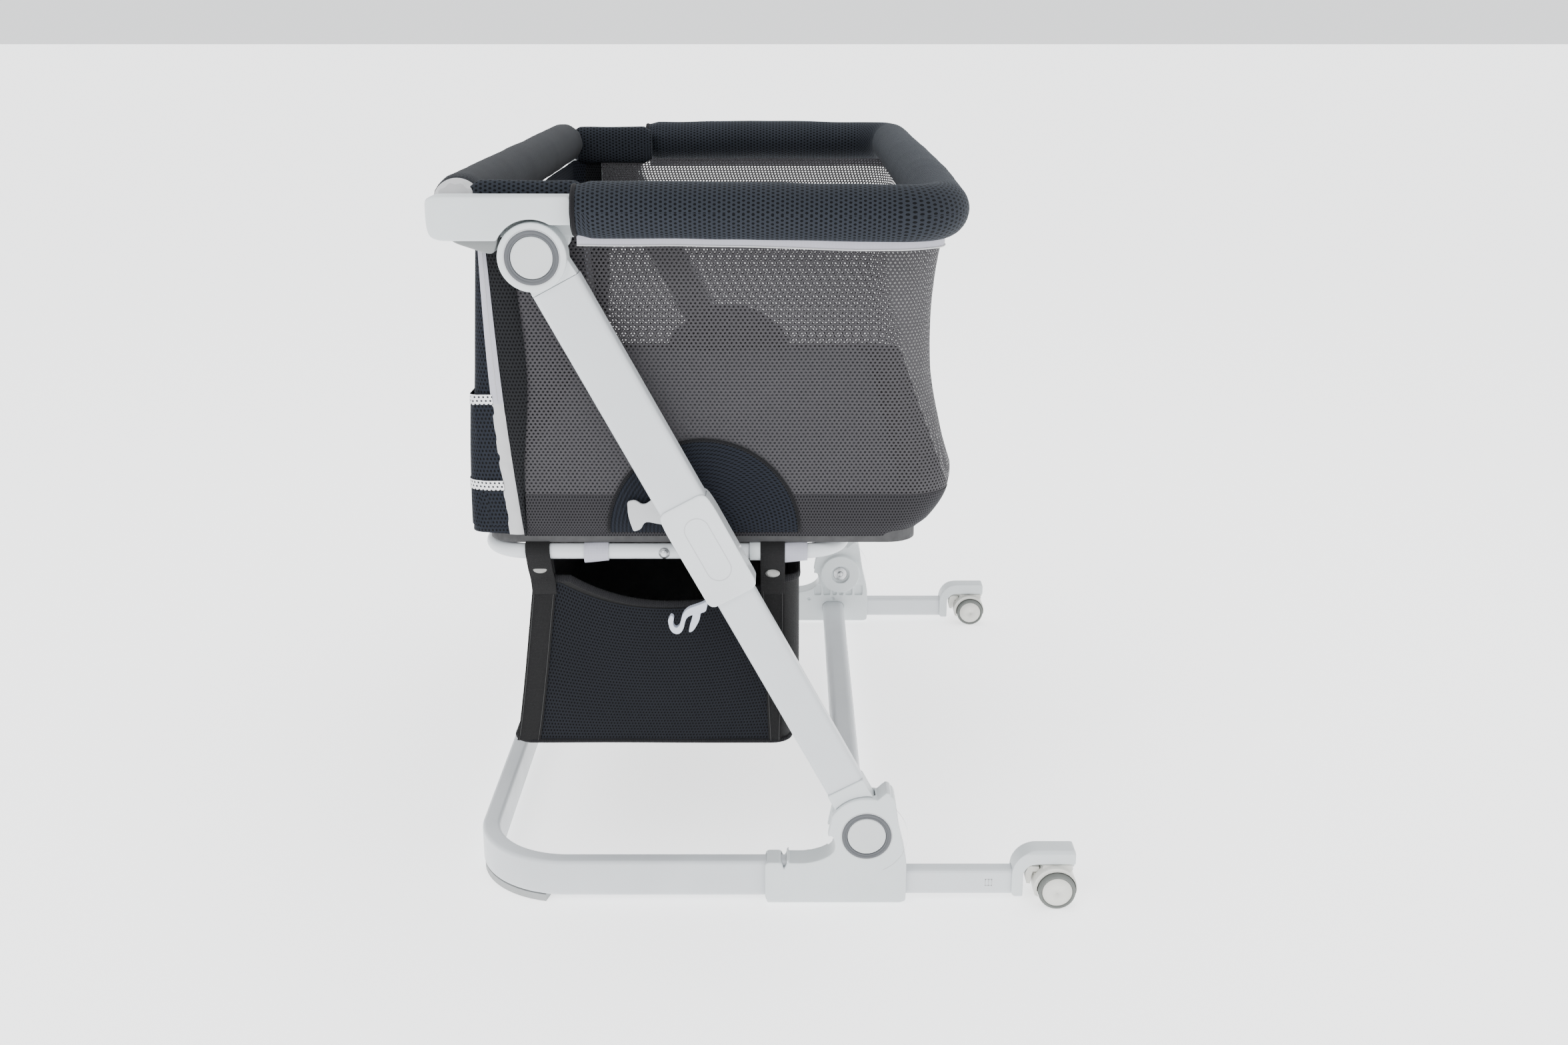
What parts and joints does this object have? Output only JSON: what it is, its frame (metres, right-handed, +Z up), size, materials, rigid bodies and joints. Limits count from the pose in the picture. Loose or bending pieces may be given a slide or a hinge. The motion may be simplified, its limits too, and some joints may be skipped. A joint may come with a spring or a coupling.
{
  "type": "bassinet on stand",
  "caption": "Bedside bassinet: padded rim, mesh walls that collapse, drop side, hanging basket, on a folding height-adjustable stand with swivel castors.",
  "frame": {"origin": "on the floor, under the middle of the object's box", "axes": "+X towards the castors, +Y along the crib, +Z up"},
  "size_m": [0.65, 0.94, 0.762],
  "materials": {
    "moulded_plastic": "cool white moulded plastic, fine satin",
    "tube_paint": "light grey-white powder coat",
    "collar_plastic": "glossier white plastic",
    "ring_grey": "dark grey matte plastic",
    "lever_grey": "mid grey matte plastic",
    "foot_rubber": "pale grey rubber",
    "tyre_grey": "grey tyre with a cream disc",
    "castor_plastic": "cream-white plastic",
    "milky_plastic": "milky, slightly clear plastic",
    "axle_steel": "zinc-plated steel",
    "navy_mesh": "navy-charcoal knitted spacer mesh",
    "wall_mesh": "charcoal open mesh with a light binding",
    "basket_fabric": "black woven fabric with navy mesh panels",
    "mattress_cover": "charcoal cover",
    "board_grey": "stiff floor board in a dark cover"
  },
  "bodies": {
    "base": {"base_tube": "tube_paint", "cross_bar": "tube_paint", "foot_pad_far": "foot_rubber", "foot_pad_near": "foot_rubber", "foot_bracket_far": "moulded_plastic", "foot_bracket_near": "moulded_plastic", "extension_tube_far": "tube_paint", "extension_tube_near": "tube_paint", "castor_arm_far": "moulded_plastic", "castor_arm_near": "moulded_plastic", "lower_hinge_ring_far": "ring_grey", "lower_hinge_ring_near": "ring_grey"},
    "lower_legs": {"lower_leg_knuckle_far": "moulded_plastic", "lower_leg_knuckle_near": "moulded_plastic", "lower_leg_tube_far": "tube_paint", "lower_leg_tube_near": "tube_paint"},
    "upper_legs": {"upper_leg_tube_far": "tube_paint", "upper_leg_tube_near": "tube_paint", "height_collar_far": "collar_plastic", "height_collar_near": "collar_plastic", "upper_leg_knuckle_far": "moulded_plastic", "upper_leg_knuckle_near": "moulded_plastic", "strap_hook_far": "milky_plastic", "strap_hook_near": "milky_plastic", "upper_hinge_ring_far": "ring_grey", "upper_hinge_ring_near": "ring_grey"},
    "crib": {"corner_bracket_far": "moulded_plastic", "corner_bracket_near": "moulded_plastic", "rim_tube": "tube_paint", "rim_bumper": "navy_mesh", "crib_walls": "wall_mesh"},
    "bottom": {"bottom_frame_left": "tube_paint", "bottom_frame_right": "tube_paint", "frame_sleeve_far": "moulded_plastic", "frame_sleeve_near": "moulded_plastic", "floor_board": "board_grey", "mattress": "mattress_cover", "basket": "basket_fabric"},
    "drop_side": {"side_rail": "tube_paint", "side_bumper": "navy_mesh", "side_wall": "navy_mesh"},
    "lower_button_far": {"lower_hinge_button_far": "moulded_plastic"},
    "upper_button_far": {"upper_hinge_button_far": "moulded_plastic"},
    "release_lever_far": {"side_release_lever_far": "lever_grey"},
    "height_lever_far": {"height_lever_far": "moulded_plastic"},
    "castor_far": {"castor_hood_far": "castor_plastic", "castor_axle_far": "axle_steel"},
    "castor_wheels_far": {"castor_wheel_inner_far": "tyre_grey", "castor_wheel_outer_far": "tyre_grey"},
    "castor_brake_far": {"castor_brake_far": "castor_plastic"},
    "lower_button_near": {"lower_hinge_button_near": "moulded_plastic"},
    "upper_button_near": {"upper_hinge_button_near": "moulded_plastic"},
    "release_lever_near": {"side_release_lever_near": "lever_grey"},
    "height_lever_near": {"height_lever_near": "moulded_plastic"},
    "castor_near": {"castor_hood_near": "castor_plastic", "castor_axle_near": "axle_steel"},
    "castor_wheels_near": {"castor_wheel_inner_near": "tyre_grey", "castor_wheel_outer_near": "tyre_grey"},
    "castor_brake_near": {"castor_brake_near": "castor_plastic"}
  },
  "joints": [
    {"name": "leg_fold", "type": "hinge", "parent": "base", "child": "lower_legs", "pos_m": [0.102, 0, 0.082], "axis": [0, 1, 0], "range_deg": [-46, 0]},
    {"name": "height_adjust", "type": "slide", "parent": "lower_legs", "child": "upper_legs", "axis": [-0.4726, 0, 0.8813], "range_m": [-0.13, 0.03]},
    {"name": "crib_level", "type": "hinge", "parent": "upper_legs", "child": "crib", "pos_m": [-0.223, 0, 0.688], "axis": [0, 1, 0], "range_deg": [0, 46]},
    {"name": "bottom_lift", "type": "slide", "parent": "crib", "child": "bottom", "axis": [0, 0, 1], "range_m": [0, 0.1905], "deforming": ["crib_walls", "side_wall", "basket"]},
    {"name": "side_drop", "type": "hinge", "parent": "crib", "child": "drop_side", "pos_m": [-0.302, 0, 0.408], "axis": [0, -1, 0], "range_deg": [0, 150]},
    {"name": "lower_button_press_far", "type": "slide", "parent": "base", "child": "lower_button_far", "axis": [0, -1, 0], "range_m": [0, 0.0025], "stiffness_N_per_m": 1200},
    {"name": "upper_button_press_far", "type": "slide", "parent": "upper_legs", "child": "upper_button_far", "axis": [0, -1, 0], "range_m": [0, 0.0025], "stiffness_N_per_m": 1200},
    {"name": "side_release_far", "type": "slide", "parent": "crib", "child": "release_lever_far", "axis": [0, 0, 1], "range_m": [0, 0.004], "stiffness_N_per_m": 800},
    {"name": "height_release_far", "type": "hinge", "parent": "upper_legs", "child": "height_lever_far", "pos_m": [-0.105, 0.4132, 0.431], "axis": [0, 1, 0], "range_deg": [0, 6], "stiffness_Nm_per_rad": 3},
    {"name": "castor_swivel_far", "type": "hinge", "parent": "base", "child": "castor_far", "pos_m": [0.317, 0.431, 0.045], "axis": [0, 0, 1], "continuous": true},
    {"name": "castor_roll_far", "type": "hinge", "parent": "castor_far", "child": "castor_wheels_far", "pos_m": [0.304, 0.431, 0.02], "axis": [0, 1, 0], "continuous": true},
    {"name": "castor_brake_press_far", "type": "hinge", "parent": "castor_far", "child": "castor_brake_far", "pos_m": [0.284, 0.431, 0.038], "axis": [0, -1, 0], "range_deg": [0, 6]},
    {"name": "lower_button_press_near", "type": "slide", "parent": "base", "child": "lower_button_near", "axis": [0, 1, 0], "range_m": [0, 0.0025], "stiffness_N_per_m": 1200},
    {"name": "upper_button_press_near", "type": "slide", "parent": "upper_legs", "child": "upper_button_near", "axis": [0, 1, 0], "range_m": [0, 0.0025], "stiffness_N_per_m": 1200},
    {"name": "side_release_near", "type": "slide", "parent": "crib", "child": "release_lever_near", "axis": [0, 0, 1], "range_m": [0, 0.004], "stiffness_N_per_m": 800},
    {"name": "height_release_near", "type": "hinge", "parent": "upper_legs", "child": "height_lever_near", "pos_m": [-0.105, -0.4132, 0.431], "axis": [0, 1, 0], "range_deg": [0, 6], "stiffness_Nm_per_rad": 3},
    {"name": "castor_swivel_near", "type": "hinge", "parent": "base", "child": "castor_near", "pos_m": [0.317, -0.431, 0.045], "axis": [0, 0, 1], "continuous": true},
    {"name": "castor_roll_near", "type": "hinge", "parent": "castor_near", "child": "castor_wheels_near", "pos_m": [0.304, -0.431, 0.02], "axis": [0, 1, 0], "continuous": true},
    {"name": "castor_brake_press_near", "type": "hinge", "parent": "castor_near", "child": "castor_brake_near", "pos_m": [0.284, -0.431, 0.038], "axis": [0, -1, 0], "range_deg": [0, 6]}
  ],
  "couplings": [
    {"joint": "crib_level", "follows": "leg_fold", "ratio": -1},
    {"joint": "bottom_lift", "follows": "leg_fold", "m_per_rad": -0.23666}
  ]
}
